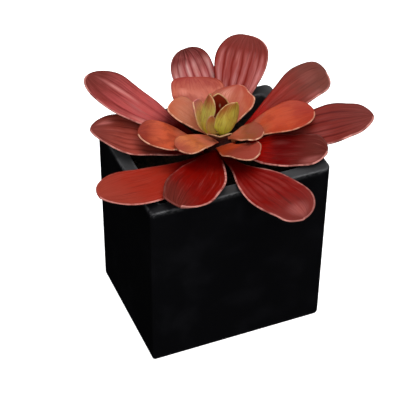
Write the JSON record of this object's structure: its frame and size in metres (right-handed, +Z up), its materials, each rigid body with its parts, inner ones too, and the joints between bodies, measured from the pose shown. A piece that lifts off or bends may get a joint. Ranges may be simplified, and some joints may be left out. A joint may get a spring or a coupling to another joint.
{
  "type": "potted succulent",
  "caption": "Potted succulent: a broad rosette of ribbed red leaves round a yellow-green heart, in a plain tall black planter filled with soil.",
  "frame": {"origin": "centre of the planter's underside", "axes": "+Z up, -Y out of the planter's broad front face, +X to the right of someone facing that front"},
  "size_m": [0.2384, 0.2252, 0.2077],
  "materials": {
    "planter": "matte black glaze, a little paler on the rim and edges",
    "soil": "matte, loose dark bark-based potting soil",
    "stem": "dull brown",
    "outer_leaf": "waxy brick red with lengthwise ribs and a thin pale rim",
    "middle_leaf": "waxy orange red with a cream rim",
    "heart_leaf": "waxy yellow green with reddish tips"
  },
  "bodies": {
    "root": {"pot": "planter", "soil": "soil", "stem": "stem", "outer_leaf_01": "outer_leaf", "outer_leaf_02": "outer_leaf", "outer_leaf_03": "outer_leaf", "outer_leaf_04": "outer_leaf", "outer_leaf_05": "outer_leaf", "outer_leaf_06": "outer_leaf", "outer_leaf_07": "outer_leaf", "outer_leaf_08": "outer_leaf", "outer_leaf_09": "outer_leaf", "outer_leaf_10": "outer_leaf", "middle_leaf_01": "middle_leaf", "middle_leaf_02": "middle_leaf", "middle_leaf_03": "middle_leaf", "middle_leaf_04": "middle_leaf", "middle_leaf_05": "middle_leaf", "middle_leaf_06": "middle_leaf", "middle_leaf_07": "middle_leaf", "middle_leaf_08": "middle_leaf", "heart_leaf_01": "heart_leaf", "heart_leaf_02": "heart_leaf", "heart_leaf_03": "heart_leaf", "heart_leaf_04": "heart_leaf", "heart_leaf_05": "heart_leaf", "heart_leaf_06": "heart_leaf"}
  },
  "joints": []
}
